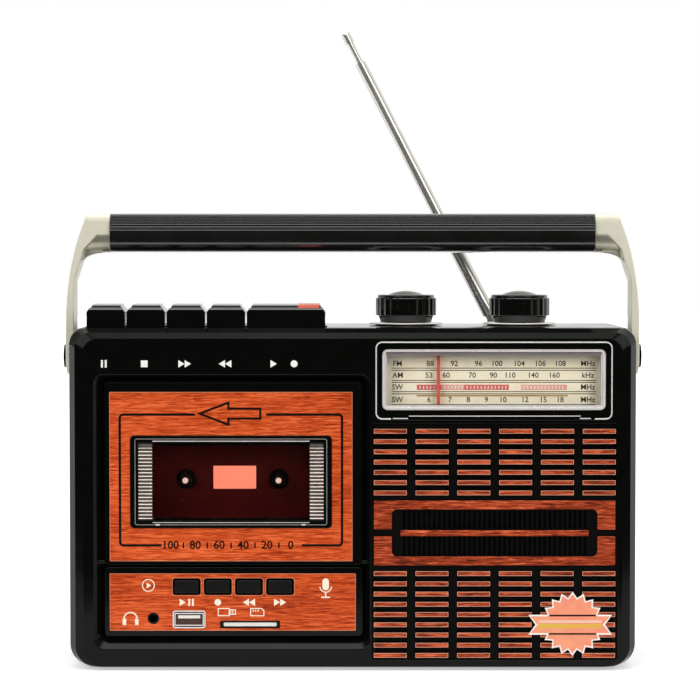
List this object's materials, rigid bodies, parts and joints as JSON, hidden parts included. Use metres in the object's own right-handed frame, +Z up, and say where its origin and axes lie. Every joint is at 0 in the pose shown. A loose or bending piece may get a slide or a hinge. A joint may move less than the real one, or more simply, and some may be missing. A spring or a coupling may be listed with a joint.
{
  "type": "radio cassette player",
  "caption": "Portable radio cassette player with wood-look facings, a tape door with a tinted window, a tuning dial, piano keys, a swing-up handle and a telescopic aerial.",
  "frame": {"origin": "middle of the footprint, on the plane the feet stand on", "axes": "+Z up, the front with dial, deck and speaker faces -Y, +X to the right as seen from the front"},
  "size_m": [0.2694, 0.086, 0.2948],
  "materials": {
    "black_gloss": "glossy black moulding",
    "black_satin": "satin black moulding",
    "chrome_trim": "bright plated trim",
    "bright_metal": "plain bright metal",
    "wood_look": "printed wood grain facing",
    "window_tint": "dark red tinted clear plastic",
    "lens_clear": "clear plastic",
    "cream_print": "cream printed plate",
    "pointer_red": "red moulding",
    "rubber_black": "black rubber",
    "board_green": "circuit board with soldered parts",
    "cone_paper": "black pulp cone",
    "socket_pale": "pale socket housing",
    "brass_part": "turned brass"
  },
  "bodies": {
    "cabinet": {"front_cabinet": "black_gloss", "rear_cabinet": "black_gloss", "rubber_feet": "rubber_black", "case_screws": "bright_metal", "handle_pivots": "black_gloss", "key_shaft": "bright_metal", "cassette_well": "black_satin", "deck_chassis": "bright_metal", "drive_motor": "bright_metal", "drive_belt": "rubber_black", "media_panel": "black_gloss", "panel_facing": "wood_look", "usb_socket": "bright_metal", "card_slot": "socket_pale", "audio_jack": "black_satin", "media_board": "board_green", "dial_bezel": "black_gloss", "dial_trim": "chrome_trim", "dial_lens": "lens_clear", "dial_scale": "cream_print", "knob_saucers": "chrome_trim", "main_board": "board_green", "speaker_grille": "black_satin", "grille_bars": "wood_look", "speaker_frame": "bright_metal", "speaker_cone": "cone_paper", "battery_contacts": "bright_metal", "mains_inlet": "black_satin"},
    "handle": {"handle_grip": "black_satin", "handle_arm_left": "chrome_trim", "handle_arm_right": "chrome_trim"},
    "pause_key": {"pause_key": "black_gloss"},
    "stop_key": {"stop_key": "black_gloss"},
    "forward_key": {"forward_key": "black_gloss"},
    "rewind_key": {"rewind_key": "black_gloss"},
    "play_key": {"play_key": "black_gloss"},
    "cassette_door": {"cassette_door": "black_gloss", "door_facing": "wood_look", "door_window": "window_tint", "window_strips": "chrome_trim"},
    "supply_spindle": {"supply_spindle": "black_satin"},
    "take_up_spindle": {"take_up_spindle": "black_satin"},
    "capstan": {"capstan_flywheel": "brass_part"},
    "motor_pulley": {"motor_pulley": "brass_part"},
    "head_sled": {"head_sled": "bright_metal", "tape_heads": "bright_metal"},
    "pinch_roller": {"pinch_roller": "rubber_black"},
    "media_button_1": {"media_button_1": "black_satin"},
    "media_button_2": {"media_button_2": "black_satin"},
    "media_button_3": {"media_button_3": "black_satin"},
    "media_button_4": {"media_button_4": "black_satin"},
    "dial_pointer": {"dial_pointer": "pointer_red"},
    "volume_knob": {"volume_knob": "black_gloss"},
    "tuning_knob": {"tuning_knob": "black_gloss"},
    "battery_door": {"battery_door": "black_gloss"},
    "band_switch": {"band_switch": "black_satin"},
    "aerial_base": {"aerial_base": "chrome_trim"},
    "aerial_tube": {"aerial_tube": "chrome_trim"},
    "aerial_middle": {"aerial_middle": "chrome_trim"},
    "aerial_tip": {"aerial_tip": "chrome_trim"}
  },
  "joints": [
    {"name": "handle_swing", "type": "hinge", "parent": "cabinet", "child": "handle", "pos_m": [0, 0, 0.141], "axis": [1, 0, 0], "range_deg": [-18, 90]},
    {"name": "pause_press", "type": "hinge", "parent": "cabinet", "child": "pause_key", "pos_m": [0, -0.004, 0.1481], "axis": [1, 0, 0], "range_deg": [0, 7], "stiffness_Nm_per_rad": 0.12},
    {"name": "stop_press", "type": "hinge", "parent": "cabinet", "child": "stop_key", "pos_m": [0, -0.004, 0.1481], "axis": [1, 0, 0], "range_deg": [0, 7], "stiffness_Nm_per_rad": 0.12},
    {"name": "forward_press", "type": "hinge", "parent": "cabinet", "child": "forward_key", "pos_m": [0, -0.004, 0.1481], "axis": [1, 0, 0], "range_deg": [0, 7], "stiffness_Nm_per_rad": 0.12},
    {"name": "rewind_press", "type": "hinge", "parent": "cabinet", "child": "rewind_key", "pos_m": [0, -0.004, 0.1481], "axis": [1, 0, 0], "range_deg": [0, 7], "stiffness_Nm_per_rad": 0.12},
    {"name": "play_press", "type": "hinge", "parent": "cabinet", "child": "play_key", "pos_m": [0, -0.004, 0.1481], "axis": [1, 0, 0], "range_deg": [0, 7], "stiffness_Nm_per_rad": 0.12},
    {"name": "door_open", "type": "hinge", "parent": "cabinet", "child": "cassette_door", "pos_m": [0, -0.0402, 0.0492], "axis": [1, 0, 0], "range_deg": [0, 38]},
    {"name": "supply_turn", "type": "hinge", "parent": "cabinet", "child": "supply_spindle", "pos_m": [-0.07625, -0.02, 0.0855], "axis": [0, -1, 0], "continuous": true},
    {"name": "take_up_turn", "type": "hinge", "parent": "cabinet", "child": "take_up_spindle", "pos_m": [-0.03375, -0.02, 0.0855], "axis": [0, -1, 0], "continuous": true},
    {"name": "capstan_turn", "type": "hinge", "parent": "cabinet", "child": "capstan", "pos_m": [-0.026, -0.005, 0.0614], "axis": [0, -1, 0], "continuous": true},
    {"name": "motor_turn", "type": "hinge", "parent": "cabinet", "child": "motor_pulley", "pos_m": [-0.091, 0.008, 0.0674], "axis": [0, -1, 0], "continuous": true},
    {"name": "sled_lift", "type": "slide", "parent": "cabinet", "child": "head_sled", "axis": [0, 0, 1], "range_m": [0, 0.0045]},
    {"name": "pinch_turn", "type": "hinge", "parent": "head_sled", "child": "pinch_roller", "pos_m": [-0.026, -0.028, 0.0506], "axis": [0, -1, 0], "continuous": true},
    {"name": "button_1_press", "type": "slide", "parent": "cabinet", "child": "media_button_1", "axis": [0, 1, 0], "range_m": [0, 0.0012], "stiffness_N_per_m": 60},
    {"name": "button_2_press", "type": "slide", "parent": "cabinet", "child": "media_button_2", "axis": [0, 1, 0], "range_m": [0, 0.0012], "stiffness_N_per_m": 60},
    {"name": "button_3_press", "type": "slide", "parent": "cabinet", "child": "media_button_3", "axis": [0, 1, 0], "range_m": [0, 0.0012], "stiffness_N_per_m": 60},
    {"name": "button_4_press", "type": "slide", "parent": "cabinet", "child": "media_button_4", "axis": [0, 1, 0], "range_m": [0, 0.0012], "stiffness_N_per_m": 60},
    {"name": "volume_turn", "type": "hinge", "parent": "cabinet", "child": "volume_knob", "pos_m": [0.0249, -0.003, 0.15], "axis": [0, 0, -1], "range_deg": [-120, 170]},
    {"name": "tuning_turn", "type": "hinge", "parent": "cabinet", "child": "tuning_knob", "pos_m": [0.0778, -0.003, 0.15], "axis": [0, 0, -1], "range_deg": [-64, 294]},
    {"name": "pointer_slide", "type": "slide", "parent": "cabinet", "child": "dial_pointer", "axis": [1, 0, 0], "range_m": [-0.014, 0.0642]},
    {"name": "battery_door_open", "type": "hinge", "parent": "cabinet", "child": "battery_door", "pos_m": [0, 0.0419, 0.0058], "axis": [-1, 0, 0], "range_deg": [0, 70]},
    {"name": "band_slide", "type": "slide", "parent": "cabinet", "child": "band_switch", "axis": [0, 1, 0], "range_m": [0, 0.009]},
    {"name": "aerial_swivel", "type": "hinge", "parent": "cabinet", "child": "aerial_base", "pos_m": [0.068, 0.0345, 0.1475], "axis": [0, 0, -1], "range_deg": [0, 180]},
    {"name": "aerial_tilt", "type": "hinge", "parent": "aerial_base", "child": "aerial_tube", "pos_m": [0.068, 0.0345, 0.1555], "axis": [0, 1, 0], "range_deg": [-62, 27]},
    {"name": "aerial_middle_slide", "type": "slide", "parent": "aerial_tube", "child": "aerial_middle", "axis": [-0.4587, 0, 0.8886], "range_m": [0, 0.105]},
    {"name": "aerial_tip_slide", "type": "slide", "parent": "aerial_middle", "child": "aerial_tip", "axis": [-0.4587, 0, 0.8886], "range_m": [0, 0.095]}
  ],
  "couplings": [
    {"joint": "pointer_slide", "follows": "tuning_turn", "m_per_rad": 0.01245},
    {"joint": "sled_lift", "follows": "play_press", "m_per_rad": 0.0368},
    {"joint": "motor_turn", "follows": "capstan_turn", "ratio": 6.37},
    {"joint": "take_up_turn", "follows": "capstan_turn", "ratio": 0.4}
  ]
}
